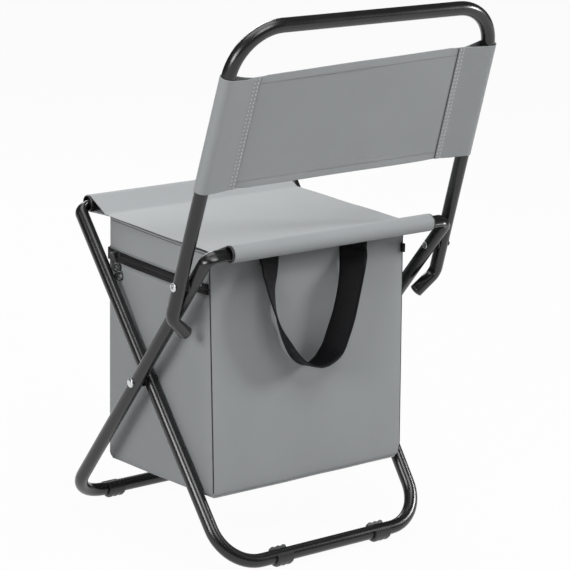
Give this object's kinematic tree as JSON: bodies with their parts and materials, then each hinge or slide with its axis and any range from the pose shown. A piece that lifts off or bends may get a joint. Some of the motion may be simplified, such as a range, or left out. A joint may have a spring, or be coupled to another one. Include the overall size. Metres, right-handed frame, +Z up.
{
  "type": "folding stool",
  "caption": "Low folding stool of bent tube with crossed leg frames, a folding cloth backrest and an insulated cooler bag with a zip and a carry handle under the cloth seat",
  "frame": {"origin": "on the floor under the middle of the overall length", "axes": "+Z up, the sitter faces -Y, +X to the side that a viewer behind the stool sees on the left"},
  "size_m": [0.3942, 0.378, 0.6434],
  "materials": {
    "frame_powder_coat": "charcoal powder coat, semi-gloss",
    "black_plastic": "moulded, satin",
    "zinc_fasteners": "bright zinc plate",
    "grey_cloth": "coated polyester, smooth satin",
    "black_webbing": "ribbed webbing and woven zip tape, matt",
    "foam": "closed-cell foam, matt",
    "foil_liner": "metallised film, satin"
  },
  "bodies": {
    "outer_frame": {"outer_leg_tube": "frame_powder_coat", "rear_seat_bar": "frame_powder_coat", "rear_bar_ring_left": "black_plastic", "rear_bar_ring_right": "black_plastic", "front_foot_left": "black_plastic", "front_foot_right": "black_plastic", "leg_pivot_rivet_left": "zinc_fasteners", "leg_pivot_rivet_right": "zinc_fasteners", "leg_pivot_washer_left": "zinc_fasteners", "leg_pivot_washer_right": "zinc_fasteners", "leg_pivot_cap_left": "zinc_fasteners", "leg_pivot_cap_right": "zinc_fasteners", "backrest_pivot_screw_left": "zinc_fasteners", "backrest_pivot_screw_right": "zinc_fasteners", "backrest_pivot_washer_left": "zinc_fasteners", "backrest_pivot_washer_right": "zinc_fasteners", "backrest_pivot_nut_left": "zinc_fasteners", "backrest_pivot_nut_right": "zinc_fasteners", "seat_rear_sleeve": "grey_cloth"},
    "inner_frame": {"inner_leg_tube": "frame_powder_coat", "front_seat_bar": "frame_powder_coat", "front_bar_ring_left": "black_plastic", "front_bar_ring_right": "black_plastic", "rear_foot_left": "black_plastic", "rear_foot_right": "black_plastic", "seat_front_sleeve": "grey_cloth"},
    "backrest": {"backrest_tube": "frame_powder_coat", "backrest_tip_plug_left": "black_plastic", "backrest_tip_plug_right": "black_plastic", "backrest_cloth": "grey_cloth"},
    "seat": {"seat_panel": "grey_cloth", "bag_collar": "grey_cloth", "zip_tape_upper": "black_webbing", "zip_coil": "black_plastic"},
    "bag": {"bag_shell": "grey_cloth", "bag_insulation": "foam", "bag_liner": "foil_liner", "bag_floor_pad": "foam", "zip_tape_lower": "black_webbing", "handle_end_left": "black_webbing", "handle_end_right": "black_webbing"},
    "handle": {"carry_handle": "black_webbing"},
    "left_slider": {"zip_slider_left": "black_plastic"},
    "left_pull": {"zip_pull_left": "black_plastic"},
    "front_slider": {"zip_slider_front": "black_plastic"},
    "front_pull": {"zip_pull_front": "black_plastic"}
  },
  "joints": [
    {"name": "leg_fold", "type": "hinge", "parent": "outer_frame", "child": "inner_frame", "pos_m": [0, -0.02649, 0.1979], "axis": [-1, 0, 0], "range_deg": [0, 68], "deforming": ["seat_panel", "bag_collar", "bag_shell", "bag_insulation", "bag_liner"]},
    {"name": "seat_follow", "type": "hinge", "parent": "outer_frame", "child": "seat", "pos_m": [0, -0.02649, 0.1979], "axis": [-1, 0, 0], "range_deg": [0, 34]},
    {"name": "backrest_fold", "type": "hinge", "parent": "outer_frame", "child": "backrest", "pos_m": [0, 0.08915, 0.3405], "axis": [1, 0, 0], "range_deg": [-5, 88]},
    {"name": "bag_open", "type": "hinge", "parent": "seat", "child": "bag", "pos_m": [0, 0.08576, 0.3699], "axis": [1, 0, 0], "range_deg": [0, 12]},
    {"name": "handle_swing", "type": "hinge", "parent": "bag", "child": "handle", "pos_m": [0, 0.08806, 0.35375], "axis": [1, 0, 0], "range_deg": [0, 80]},
    {"name": "left_zip", "type": "slide", "parent": "seat", "child": "left_slider", "axis": [0, 1, 0], "range_m": [0, 0.183]},
    {"name": "left_pull_swing", "type": "hinge", "parent": "left_slider", "child": "left_pull", "pos_m": [0.1395, -0.11524, 0.324], "axis": [1, 0, 0], "range_deg": [-75, 75]},
    {"name": "front_zip", "type": "slide", "parent": "seat", "child": "front_slider", "axis": [-1, 0, 0], "range_m": [0, 0.219]},
    {"name": "front_pull_swing", "type": "hinge", "parent": "front_slider", "child": "front_pull", "pos_m": [0.10971, -0.13724, 0.324], "axis": [0, 1, 0], "range_deg": [-75, 75]}
  ],
  "couplings": [
    {"joint": "seat_follow", "follows": "leg_fold", "ratio": 0.5}
  ]
}
